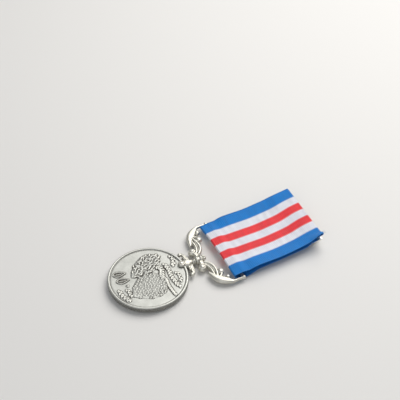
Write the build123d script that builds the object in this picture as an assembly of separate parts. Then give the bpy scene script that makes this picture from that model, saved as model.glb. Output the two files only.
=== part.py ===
from build123d import *
import os

# A service medal on a striped ribbon, with a swivelling scroll suspender and a pin-back brooch.
# Lengths are millimetres. The medal lies on its back on a surface at Z = 0. +Y runs from the disc
# to the top of the ribbon, +X is to the right of someone facing it, and +Z comes out of its face.
# The parts are drawn with the disc's centre at X = 0, Y = 0. The last step moves them all along Y,
# so that the origin is the middle of the underside of the whole medal.

# ---------------------------------------------------------------- disc
disc_radius = 18.0
disc_thickness = 2.8
rim_width = 1.0
rim_round = 0.35
field_depth = 0.45
relief_height = 0.35

# ---------------------------------------------------------------- claw
claw_half_thickness = 2.2
claw_neck_radius = 1.25
claw_neck_top = 22.6
claw_leaf_half_thickness = 0.95
foot_y = 16.6
foot_radius = 1.75
rivet_radius = 0.5
mid_z = claw_half_thickness          # the plane that the disc, claw and suspender share

# ---------------------------------------------------------------- swivel
swivel_pin_radius = 0.8
swivel_pin_foot = 20.2
swivel_pin_top = 27.9
collar_radius = 1.5
collar_height = 0.8
rosette_radius = 1.6
rosette_bottom = 26.8
rosette_top = 28.9

# ---------------------------------------------------------------- suspender
running_clearance = 0.05             # on the radius, wherever one part turns in another
end_relief = 0.15                    # on the radius, round what turns against the boss's ends
boss_radius = 1.9
boss_bottom = 23.5
boss_top = 26.7
arm_half_thickness = 1.2
volute_radius = 1.75
bar_y = 38.3
bar_radius = 0.75
ear_x = 18.4
ear_width = 1.2
ear_radius = 1.1

# ---------------------------------------------------------------- ribbon
ribbon_width = 35.0
ribbon_thickness = 0.45
ribbon_bottom = 34.8                 # outside of the loop below the bar
ribbon_top = 82.0                    # outside of the hem above the brooch
crease_radius = 0.38

# ---------------------------------------------------------------- brooch
plate_length = 33.0
plate_width = 4.5
plate_thickness = 0.6
plate_corner_radius = 1.0
plate_y = 78.7
plate_back_z = 4.2
plate_front_z = plate_back_z + plate_thickness
stitch_count = 6
stitch_pitch = 5.0
stitch_span = 1.6                    # from one leg of a stitch to the other
thread_width = 0.2
cloth_hole_radius = 0.15
plate_hole_radius = 0.3
hem_row_y = 80.3
tail_row_y = 77.1

needle_z = 1.7                       # height of the needle's axis, which is also the catch's
needle_radius = 0.45
needle_root_radius = 0.6
needle_tip_radius = 0.1
needle_root_x = -10.4                # where the flared root has come down to the wire's radius
needle_taper_x = 7.5
needle_tip_x = 14.2
hinge_x = -12.8
hinge_rivet_radius = 0.4
rivet_head_radius = 0.64
rivet_head_height = 0.25
eye_radius = 1.05
eye_width = 1.2
cheek_gap = 1.3
cheek_thickness = 0.6
cheek_radius = 1.3
bracket_base_thickness = 0.5

housing_x = 10.7
housing_length = 3.0
housing_radius = 1.6
housing_foot_width = 1.8
lock_radius = 1.13
lock_bore_radius = 0.62
lock_flange_radius = 1.45
lock_flange_width = 0.9
lock_side_gap = 0.15
needle_slot_width = 1.24
thumb_tab_reach = 3.2
thumb_tab_thickness = 0.7

overall_length = ribbon_top + disc_radius
disc_centre_y = disc_radius - overall_length / 2


def rod_along_x(radius, x_start, x_end, y=0.0, z=mid_z):
    """Round bar whose axis is parallel to X."""
    length = x_end - x_start
    return Pos((x_start + x_end) / 2, y, z) * Rot(0, 90, 0) * Cylinder(radius, length)


def rod_along_y(radius, y_start, y_end, x=0.0, z=mid_z):
    """Round bar whose axis is parallel to Y."""
    length = y_end - y_start
    return Pos(x, (y_start + y_end) / 2, z) * Rot(90, 0, 0) * Cylinder(radius, length)


def limb_outline(*stations):
    """Flat limb that swells and narrows: each station is the centre and half width (x, y, r)."""
    outline = Sketch()
    for (x0, y0, r0), (x1, y1, r1) in zip(stations, stations[1:]):
        ends = (Pos(x0, y0) * Circle(r0)).edges() + (Pos(x1, y1) * Circle(r1)).edges()
        outline += make_hull(ends)
    return outline


def with_mirror_image(shape):
    """The shape and its mirror image across the middle of the medal."""
    return shape + mirror(shape, about=Plane.YZ)


def slab(outline, half_thickness):
    """The outline, thickened equally to both sides of the medal's middle plane."""
    return Pos(0, 0, mid_z) * extrude(outline, half_thickness, both=True)


# ---------------------------------------------------------------- medal
def medal_disc():
    """Struck disc with a raised rim, a sunk field on both faces and a plain raised device."""
    disc = Cylinder(disc_radius, disc_thickness)
    disc = fillet(disc.edges(), rim_round)
    sunk_field = Cylinder(disc_radius - rim_width, field_depth)
    field_offset = (disc_thickness - field_depth) / 2
    disc -= Pos(0, 0, field_offset) * sunk_field
    disc -= Pos(0, 0, -field_offset) * sunk_field
    device = Pos(-6.5, 1.0) * Ellipse(4.2, 7.0) + Pos(4.5, -2.5) * Ellipse(7.0, 6.4)
    face_z = disc_thickness / 2 - field_depth
    disc += Pos(0, 0, face_z) * extrude(device, relief_height)
    disc -= Pos(0, foot_y, 0) * Cylinder(rivet_radius, disc_thickness)
    return Pos(0, 0, mid_z) * disc


def claw():
    """Forked mount that grips the top of the disc, with a leaf to each side and a domed foot."""
    body = make_hull(
        (Pos(0, foot_y) * Circle(foot_radius)).edges()
        + (Pos(0, 19.1) * Circle(2.2)).edges()
        + (Pos(0, 21.0) * Circle(claw_neck_radius)).edges()
    )
    leaf = limb_outline((1.3, 20.7, 0.8), (4.2, 20.0, 0.9), (6.5, 18.9, 0.95))
    solid = slab(body, claw_half_thickness) + slab(with_mirror_image(leaf), claw_leaf_half_thickness)
    solid += rod_along_y(claw_neck_radius, 20.0, claw_neck_top)
    foot_dome = Sphere(foot_radius)
    solid += Pos(0, foot_y, mid_z + disc_thickness / 2) * split(foot_dome, Plane.XY, keep=Keep.TOP)
    solid -= Pos(0, 0, mid_z) * Cylinder(disc_radius, disc_thickness)
    solid -= Pos(0, foot_y, mid_z) * Cylinder(rivet_radius, 2 * claw_half_thickness)
    solid -= rod_along_y(swivel_pin_radius, swivel_pin_foot, claw_neck_top)
    return solid


def claw_rivet():
    """Plain pin through the back toe, the disc and the front toe."""
    return Pos(0, foot_y, mid_z) * Cylinder(rivet_radius, 2 * claw_half_thickness)


def swivel_pin():
    """Post fixed in the claw, on which the suspender turns."""
    return rod_along_y(swivel_pin_radius, swivel_pin_foot, swivel_pin_top)


def swivel_collar():
    """Loose ring that spaces the suspender from the claw."""
    collar = rod_along_y(collar_radius, claw_neck_top, claw_neck_top + collar_height)
    bore = rod_along_y(
        swivel_pin_radius + running_clearance, claw_neck_top, claw_neck_top + collar_height
    )
    return collar - bore


def rosette_finial():
    """Domed rosette pressed on the swivel pin, which keeps the suspender on it."""
    shoulder = rosette_top - rosette_radius
    finial = rod_along_y(rosette_radius, rosette_bottom, shoulder)
    finial += Pos(0, shoulder, mid_z) * split(Sphere(rosette_radius), Plane.XZ, keep=Keep.BOTTOM)
    return finial - rod_along_y(swivel_pin_radius, rosette_bottom, swivel_pin_top)


# ---------------------------------------------------------------- suspender
def scroll_arm_outline():
    """One side of the scrollwork: arch, outer scroll with its ear stem, two curls and a volute."""
    arch = limb_outline(
        (1.2, 25.6, 1.2), (3.6, 27.4, 1.1), (6.7, 28.6, 1.25), (9.8, 28.3, 1.25), (12.8, 27.9, 1.1)
    )
    outer_scroll = limb_outline(
        (10.0, 26.2, 0.6),
        (13.2, 28.0, 1.45),
        (15.9, 30.3, 1.8),
        (18.3, 33.4, 0.8),
        (ear_x, 35.6, ear_width / 2),
        (ear_x, bar_y, ear_width / 2),
    )
    inner_curl = limb_outline((13.0, 28.8, 0.7), (12.5, 30.4, 0.7), (11.1, 31.4, 1.4))
    outer_curl = limb_outline((16.9, 31.0, 0.7), (16.5, 32.2, 0.6), (15.4, 32.8, 1.15))
    volute = limb_outline((1.0, 25.0, 1.0), (5.1, 24.6, 1.3))
    return arch + outer_scroll + inner_curl + outer_curl + volute


def suspender_scroll():
    """Cast scrollwork with a central boss for the swivel and an ear at each tip for the bar."""
    solid = slab(with_mirror_image(scroll_arm_outline()), arm_half_thickness)
    solid += rod_along_y(boss_radius, boss_bottom, boss_top)
    for side in (-1, 1):
        solid += Pos(side * 5.1, 24.6, mid_z) * Sphere(volute_radius)
        inner, outer = sorted((side * (ear_x - ear_width / 2), side * (ear_x + ear_width / 2)))
        solid += rod_along_x(ear_radius, inner, outer, y=bar_y)
    solid -= rod_along_x(bar_radius, -ear_x - ear_width, ear_x + ear_width, y=bar_y)
    solid -= rod_along_y(swivel_pin_radius + running_clearance, boss_bottom, boss_top)
    # the finial and the collar turn against the boss's ends, so nothing stands over either end
    solid -= rod_along_y(rosette_radius + end_relief, boss_top, rosette_top)
    solid -= rod_along_y(collar_radius + end_relief, claw_neck_top, boss_bottom)
    return solid


def ribbon_bar():
    """Round bar that the ribbon loops over, fixed in both ears."""
    end = ear_x + ear_width / 2
    return rod_along_x(bar_radius, -end, end, y=bar_y)


# ---------------------------------------------------------------- ribbon
hem_z = plate_front_z + ribbon_thickness / 2
face_gap = 0.25                      # room for the thread between the hem and the front layer
top_face_z = hem_z + ribbon_thickness + face_gap
hem_radius = (top_face_z - hem_z) * 0.49
fold_front_z = mid_z + 2.15
fold_height = 0.85                   # between the layers, at the crease below the bar
back_z = mid_z - 1.5


def ribbon_strip():
    """One strip: hemmed over the brooch, down the front, creased below the bar, up behind."""
    fold_y = ribbon_top - ribbon_thickness / 2
    loop_y = ribbon_bottom + ribbon_thickness / 2
    hem_end_y = plate_y + 0.2
    tail_end_y = plate_y - 0.3
    route = [
        (hem_end_y, hem_z),
        (fold_y, hem_z),
        (fold_y, top_face_z),
        (76.0, top_face_z),
        (71.2, 3.75),
        (58.0, 3.2),
        (43.0, 3.75),
        (39.8, 4.7),
        (loop_y, fold_front_z),
        (loop_y, fold_front_z - fold_height),
        (37.5, back_z),
        (41.5, back_z),
        (47.0, 1.9),
        (58.0, 2.3),
        (71.8, 2.5),
        (75.5, hem_z),
        (tail_end_y, hem_z),
    ]
    face_bends = [5.0, 14.0, 60.0, 7.0, 5.0]
    back_bends = [1.5, 5.0, 8.0, 60.0, 6.0, 2.5]
    bends = [hem_radius, hem_radius, *face_bends, crease_radius, crease_radius, *back_bends]
    middle_line = FilletPolyline(*route, radius=bends)
    section = trace(middle_line, ribbon_thickness)
    strip = extrude(Plane.YZ * section, ribbon_width / 2, both=True)
    return strip - stitch_holes(cloth_hole_radius, hem_z)


def stitch_places():
    """Middle of every stitch, row by row."""
    first = -(stitch_count - 1) / 2 * stitch_pitch
    for row_y in (hem_row_y, tail_row_y):
        for index in range(stitch_count):
            yield first + index * stitch_pitch, row_y


def stitch_holes(radius, z):
    """Drills for both legs of every stitch, through one layer whose middle is at this height."""
    drill = Cylinder(radius, 2 * plate_thickness)
    holes = [
        Pos(x + side * stitch_span / 2, y, z) * drill for x, y in stitch_places() for side in (-1, 1)
    ]
    return Compound(holes)


def sewing_thread(row_y):
    """Row of thread loops that ties one end of the ribbon to the brooch plate."""
    bottom = plate_back_z - thread_width
    top = hem_z + ribbon_thickness / 2 + thread_width
    loop = Box(stitch_span + thread_width, thread_width, top - bottom)
    loop -= Box(stitch_span - thread_width, thread_width, top - bottom - 2 * thread_width)
    middle_z = (top + bottom) / 2
    return Compound([Pos(x, y, middle_z) * loop for x, y in stitch_places() if y == row_y])


# ---------------------------------------------------------------- brooch
def brooch_plate():
    """Flat bar behind the hem, with two rows of sewing holes."""
    outline = RectangleRounded(plate_length, plate_width, plate_corner_radius)
    plate = Pos(0, plate_y, plate_back_z) * extrude(outline, plate_thickness)
    return plate - stitch_holes(plate_hole_radius, (plate_back_z + plate_front_z) / 2)


def hinge_bracket():
    """Two cheeks on a base, soldered to the back of the plate."""
    depth = cheek_gap + 2 * cheek_thickness
    cheek_height = plate_back_z - needle_z
    bracket = rod_along_y(cheek_radius, plate_y - depth / 2, plate_y + depth / 2, hinge_x, needle_z)
    block = Box(2 * cheek_radius, depth, cheek_height)
    bracket += Pos(hinge_x, plate_y, needle_z + cheek_height / 2) * block
    opening = Box(2 * cheek_radius, cheek_gap, cheek_height + cheek_radius - bracket_base_thickness)
    opening_bottom = needle_z - cheek_radius
    opening_top = plate_back_z - bracket_base_thickness
    bracket -= Pos(hinge_x, plate_y, (opening_bottom + opening_top) / 2) * opening
    bore = rod_along_y(hinge_rivet_radius, plate_y - depth, plate_y + depth, hinge_x, needle_z)
    return bracket - bore


def hinge_rivet():
    """Headed rivet across the cheeks, through the needle's eye."""
    reach = cheek_gap / 2 + cheek_thickness
    rivet = rod_along_y(hinge_rivet_radius, plate_y - reach, plate_y + reach, hinge_x, needle_z)
    for near, far in ((reach, reach + rivet_head_height), (-reach - rivet_head_height, -reach)):
        rivet += rod_along_y(rivet_head_radius, plate_y + near, plate_y + far, hinge_x, needle_z)
    return rivet


def needle_cone(radius_start, radius_end, x_start, x_end):
    """Tapered stretch of the needle."""
    length = x_end - x_start
    cone = Cone(radius_start, radius_end, length)
    return Pos((x_start + x_end) / 2, plate_y, needle_z) * Rot(0, 90, 0) * cone


def pin_needle():
    """Needle with a round eye and a flared root at its hinge end, tapered to its point."""
    needle = rod_along_x(needle_radius, needle_root_x, needle_taper_x, y=plate_y, z=needle_z)
    needle += needle_cone(needle_root_radius, needle_radius, hinge_x + eye_radius / 2, needle_root_x)
    needle += needle_cone(needle_radius, needle_tip_radius, needle_taper_x, needle_tip_x)
    half = eye_width / 2
    needle += rod_along_y(eye_radius, plate_y - half, plate_y + half, hinge_x, needle_z)
    bore_radius = hinge_rivet_radius + running_clearance
    return needle - rod_along_y(bore_radius, plate_y - half, plate_y + half, hinge_x, needle_z)


def needle_slot(x_start, x_end, reach):
    """Slot under the catch's axis, through which the needle comes in from below."""
    length = x_end - x_start
    block = Box(length, needle_slot_width, reach)
    return Pos((x_start + x_end) / 2, plate_y, needle_z - reach / 2) * block


def catch_housing():
    """Split ring on a foot, soldered to the back of the plate."""
    start = housing_x - housing_length / 2
    end = housing_x + housing_length / 2
    ring = rod_along_x(housing_radius, start, end, plate_y, needle_z)
    foot_height = plate_back_z - needle_z
    foot = Box(housing_length, housing_foot_width, foot_height)
    ring += Pos(housing_x, plate_y, needle_z + foot_height / 2) * foot
    ring -= rod_along_x(lock_radius + running_clearance, start, end, plate_y, needle_z)
    return ring - needle_slot(start, end, 2 * housing_radius)


def catch_lock():
    """Split sleeve that turns inside the housing to close it, with a flange and a thumb tab."""
    start = housing_x - housing_length / 2 - lock_side_gap
    end = housing_x + housing_length / 2 + lock_side_gap
    far_start = start - lock_flange_width
    far_end = end + lock_flange_width
    lock = rod_along_x(lock_radius, start, end, plate_y, needle_z)
    lock += rod_along_x(lock_flange_radius, far_start, start, plate_y, needle_z)
    lock += rod_along_x(lock_flange_radius, end, far_end, plate_y, needle_z)
    tab = Box(lock_flange_width, thumb_tab_reach, thumb_tab_thickness)
    lock += Pos(end + lock_flange_width / 2, plate_y + thumb_tab_reach / 2, needle_z) * tab
    lock -= rod_along_x(lock_bore_radius, far_start, far_end, plate_y, needle_z)
    return lock - needle_slot(far_start, far_end, 2 * lock_flange_radius)


# ---------------------------------------------------------------- files
nodes = {
    "medal_disc": medal_disc(),
    "claw": claw(),
    "claw_rivet": claw_rivet(),
    "swivel_pin": swivel_pin(),
    "swivel_collar": swivel_collar(),
    "rosette_finial": rosette_finial(),
    "suspender_scroll": suspender_scroll(),
    "ribbon_bar": ribbon_bar(),
    "ribbon": ribbon_strip(),
    "hem_thread": sewing_thread(hem_row_y),
    "tail_thread": sewing_thread(tail_row_y),
    "brooch_plate": brooch_plate(),
    "hinge_bracket": hinge_bracket(),
    "hinge_rivet": hinge_rivet(),
    "pin_needle": pin_needle(),
    "catch_housing": catch_housing(),
    "catch_lock": catch_lock(),
}

os.makedirs("parts", exist_ok=True)
for name, shape in nodes.items():
    export_step(Pos(0, disc_centre_y, 0) * shape, f"parts/{name}.step")
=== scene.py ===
import math
import bpy
import numpy as np
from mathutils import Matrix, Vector


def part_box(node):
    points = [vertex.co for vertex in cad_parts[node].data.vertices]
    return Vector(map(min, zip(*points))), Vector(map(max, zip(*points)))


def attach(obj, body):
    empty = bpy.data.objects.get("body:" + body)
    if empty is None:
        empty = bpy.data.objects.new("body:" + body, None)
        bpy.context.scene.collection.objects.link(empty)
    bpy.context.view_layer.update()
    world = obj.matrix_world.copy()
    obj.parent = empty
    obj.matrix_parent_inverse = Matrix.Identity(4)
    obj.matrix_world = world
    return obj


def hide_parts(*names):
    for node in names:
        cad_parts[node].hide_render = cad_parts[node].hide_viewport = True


# The looks of a service medal that lies on its back: +Y runs from the disc to the top of the ribbon,
# +X is to the right of someone facing it, and +Z comes out of its face.
# Shapes are worked out in millimetres, with the disc's centre at X = 0, Y = 0, and become metres in
# the row's frame when a mesh is made.

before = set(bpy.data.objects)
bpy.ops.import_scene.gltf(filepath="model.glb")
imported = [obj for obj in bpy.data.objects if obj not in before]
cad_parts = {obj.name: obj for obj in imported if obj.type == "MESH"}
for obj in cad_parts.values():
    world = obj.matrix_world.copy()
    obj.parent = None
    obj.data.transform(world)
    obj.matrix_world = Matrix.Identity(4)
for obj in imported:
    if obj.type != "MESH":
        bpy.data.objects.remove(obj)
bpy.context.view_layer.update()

MM = 0.001
disc_low, disc_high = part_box("medal_disc")
DISC_RADIUS = (disc_high.x - disc_low.x) / 2 / MM
DISC_HALF = (disc_high.z - disc_low.z) / 2 / MM
DISC_CENTRE_Y = (disc_high.y + disc_low.y) / 2 / MM
MID_Z = (disc_high.z + disc_low.z) / 2 / MM
rng = np.random.default_rng(36)


# ================================================================ meshes
def to_frame(points):
    """Millimetres about the disc's centre, as metres in the row's frame."""
    return (np.asarray(points, float) + (0.0, DISC_CENTRE_Y, 0.0)) * MM


def new_object(name, data):
    """Object that is part of the scene."""
    made = bpy.data.objects.new(name, data)
    bpy.context.scene.collection.objects.link(made)
    return made


def new_piece(name, points, faces, body, replaced=(), material=None):
    """Mesh object that rides on a body and stands for the CAD nodes that it replaces."""
    mesh = bpy.data.meshes.new(name)
    mesh.from_pydata(to_frame(points).tolist(), [], faces)
    mesh.update()
    mesh.shade_smooth()
    piece = new_object(name, mesh)
    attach(piece, body)
    if replaced:
        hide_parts(*replaced)
    if material:
        mesh.materials.append(material)
    return piece


def add_attribute(piece, name, values):
    """Number stored at every point of a mesh, for its material to read."""
    layer = piece.data.attributes.new(name, "FLOAT", "POINT")
    layer.data.foreach_set("value", np.asarray(values, np.float32))


def grid_faces(rows, columns, round_rows=False, round_columns=False, start=0):
    """Quads of a grid of points. A round direction joins its last points to its first."""
    row, column = np.meshgrid(
        np.arange(rows if round_rows else rows - 1),
        np.arange(columns if round_columns else columns - 1),
        indexing="ij",
    )
    next_row, next_column = (row + 1) % rows, (column + 1) % columns
    corners = (
        row * columns + column,
        row * columns + next_column,
        next_row * columns + next_column,
        next_row * columns + column,
    )
    return (np.stack(corners, -1).reshape(-1, 4) + start).tolist()


def end_caps(rings, sides, start=0):
    """The two flat faces that close a tube of rings."""
    first = list(range(start, start + sides))[::-1]
    last = list(range(start + (rings - 1) * sides, start + rings * sides))
    return [first, last]


def full_turn(sides):
    """Angles evenly spaced round a circle."""
    return np.linspace(0, 2 * math.pi, sides, endpoint=False)


def count_points(groups):
    """How many points the groups hold, which is where the next group starts."""
    return sum(len(group) for group in groups)


def points_of(piece):
    """The mesh's points as an array, in metres."""
    co = np.empty(len(piece.data.vertices) * 3)
    piece.data.vertices.foreach_get("co", co)
    return co.reshape(-1, 3)


def apply_modifiers(piece):
    """Replaces the mesh by what its modifiers make of it."""
    graph = bpy.context.evaluated_depsgraph_get()
    result = bpy.data.meshes.new_from_object(piece.evaluated_get(graph))
    piece.modifiers.clear()
    piece.data = result
    result.shade_smooth()


def smoothed(points, edges, rounds):
    """Points moved towards their neighbours' average, several times over."""
    count = np.bincount(edges.ravel(), minlength=len(points))[:, None]
    for _ in range(rounds):
        total = np.zeros_like(points)
        for axis in range(3):
            total[:, axis] += np.bincount(edges[:, 0], points[edges[:, 1], axis], len(points))
            total[:, axis] += np.bincount(edges[:, 1], points[edges[:, 0], axis], len(points))
        points = 0.5 * points + 0.5 * total / np.maximum(count, 1)
    return points


def store_hollows(piece, rounds, depth):
    """Stores 'hollow': near 1 in grooves and corners, 0 on level metal, near -1 on sharp edges."""
    points = points_of(piece)
    edges = np.empty(len(piece.data.edges) * 2, np.int64)
    piece.data.edges.foreach_get("vertices", edges)
    normals = np.empty(len(points) * 3)
    piece.data.vertices.foreach_get("normal", normals)
    sunk = (smoothed(points, edges.reshape(-1, 2), rounds) - points) * normals.reshape(-1, 3)
    add_attribute(piece, "hollow", np.clip(sunk.sum(1) / (depth * MM), -1, 1))


def ease(values, start, end):
    """Smooth step from 0 at start to 1 at end."""
    share = np.clip((values - start) / (end - start), 0, 1)
    return share * share * (3 - 2 * share)


def distance_along(points):
    """How far along a chain of points each of them lies."""
    steps = np.linalg.norm(np.diff(points, axis=0), axis=1)
    return np.concatenate([[0.0], np.cumsum(steps)])


def respaced(points, travelled, count):
    """A chain of points taken again at even distances, and those distances."""
    wanted = np.linspace(0, travelled[-1], count)
    return np.column_stack([np.interp(wanted, travelled, c) for c in points.T]), wanted


def left_of(path):
    """Unit vectors that point to the left of a flat path."""
    ahead = np.gradient(path, axis=0)
    ahead /= np.linalg.norm(ahead, axis=1)[:, None]
    return np.column_stack([-ahead[:, 1], ahead[:, 0]])


def curve_through(rows, spacing):
    """Smooth curve through rows whose first two columns are a place; the others are carried along."""
    rows = np.asarray(rows, float)
    padded = np.vstack([2 * rows[0] - rows[1], rows, 2 * rows[-1] - rows[-2]])
    t = np.linspace(0, 1, 24, endpoint=False)[:, None]
    stretches = []
    for before, start, end, after in zip(padded, padded[1:], padded[2:], padded[3:]):
        stretches.append(
            0.5
            * (
                2 * start
                + (end - before) * t
                + (2 * before - 5 * start + 4 * end - after) * t**2
                + (3 * start - before - 3 * end + after) * t**3
            )
        )
    dense = np.vstack(stretches + [rows[-1:]])
    travelled = distance_along(dense[:, :2])
    return respaced(dense, travelled, max(4, round(travelled[-1] / spacing) + 1))


# ================================================================ shader helpers
class Shader:
    """Small wrapper that builds one node material."""

    def __init__(self, name):
        self.material = bpy.data.materials.new(name)
        self.material.use_nodes = True
        self.tree = self.material.node_tree
        self.surface = self.tree.nodes["Principled BSDF"]

    def node(self, kind, **settings):
        made = self.tree.nodes.new("ShaderNode" + kind)
        for key, value in settings.items():
            setattr(made, key, value)
        return made

    def put(self, value, socket):
        """Links an output to a socket, or sets the socket to a number or colour."""
        if isinstance(value, bpy.types.NodeSocket):
            self.tree.links.new(value, socket)
        else:
            socket.default_value = value

    def math(self, operation, a, b=0.0):
        made = self.node("Math", operation=operation)
        self.put(a, made.inputs[0])
        self.put(b, made.inputs[1])
        return made.outputs[0]

    def mix(self, share, a, b, blend="MIX"):
        made = self.node("Mix", data_type="RGBA", blend_type=blend)
        self.put(share, made.inputs["Factor"])
        self.put(a, made.inputs[6])
        self.put(b, made.inputs[7])
        return made.outputs[2]

    def spread(self, value, low, high, to_low=0.0, to_high=1.0):
        """Maps low..high to to_low..to_high, and holds it there outside."""
        made = self.node("MapRange")
        for key, number in (("From Min", low), ("From Max", high), ("To Min", to_low), ("To Max", to_high)):
            made.inputs[key].default_value = number
        self.put(value, made.inputs["Value"])
        return made.outputs["Result"]

    def attribute(self, name):
        return self.node("Attribute", attribute_name=name).outputs["Fac"]

    def place(self):
        return self.node("TexCoord").outputs["Object"]

    def noise(self, size, detail=3.0, stretch=None):
        """Noise whose blotches are about this many millimetres across."""
        made = self.node("TexNoise")
        made.inputs["Scale"].default_value = 1.0 / (size * MM)
        made.inputs["Detail"].default_value = detail
        place = self.place()
        if stretch:
            mapping = self.node("Mapping")
            mapping.inputs["Scale"].default_value = stretch
            self.put(place, mapping.inputs["Vector"])
            place = mapping.outputs["Vector"]
        self.put(place, made.inputs["Vector"])
        return made.outputs["Fac"]

    def bump(self, height, depth, after=None):
        """Bump of this depth in millimetres, on top of an earlier one."""
        made = self.node("Bump")
        made.inputs["Distance"].default_value = depth * MM
        self.put(height, made.inputs["Height"])
        if after:
            self.put(after, made.inputs["Normal"])
        return made.outputs["Normal"]

    def set(self, **inputs):
        for key, value in inputs.items():
            self.put(value, self.surface.inputs[key.replace("_", " ")])


def colour(red, green, blue):
    """A display colour of 0 to 255 as the linear colour that sockets hold."""
    return tuple(
        c / 255 / 12.92 if c <= 10 else ((c / 255 + 0.055) / 1.055) ** 2.4 for c in (red, green, blue)
    ) + (1.0,)


def antique_silver(name, bright, dull, patina, grain, roughness):
    """Silver plate, darkened in its hollows, rubbed bright on its edges, with a fine cast grain."""
    bright, dull, patina = colour(*bright), colour(*dull), colour(*patina)
    s = Shader(name)
    # 'hollow' is mostly the patina that sits in hollows; on the disc's plain side edge it also carries
    # painted shade.
    hollow = s.attribute("hollow")
    cloud = s.noise(3.5, 4.0)
    speck = s.noise(0.35, 3.0)
    shade = s.math("ADD", hollow, s.spread(speck, 0.3, 0.7, -0.12, 0.12))
    dark = s.spread(s.math("ADD", shade, s.spread(cloud, 0.3, 0.7, -0.06, 0.06)), 0.13, 0.7)
    worn = s.spread(hollow, -0.1, -0.7)
    body = s.mix(s.spread(cloud, 0.3, 0.7), dull, bright)
    s.set(Base_Color=s.mix(dark, s.mix(worn, body, colour(218, 217, 209)), patina), Metallic=1.0)
    rough = s.spread(speck, 0.25, 0.75, roughness - 0.05, roughness + 0.05)
    rough = s.math("ADD", rough, s.spread(dark, 0.0, 1.0, 0.0, 0.22))
    s.set(Roughness=s.math("SUBTRACT", rough, s.spread(worn, 0.0, 1.0, 0.0, 0.04)))
    fine = s.bump(s.noise(0.12, 2.0), grain)
    s.set(Normal=s.bump(s.noise(0.8, 3.0), grain * 1.6, after=fine))
    return s.material


# ================================================================ struck disc
FIELD_DEPTH = 0.45
RIM_INSIDE = 17.0
RIM_ROUNDING = 0.5
NET_RADIUS = 17.35
FRONT_DIVISIONS = 240
RASTER_STEP = 0.07
RASTER_REACH = 18.2


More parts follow.
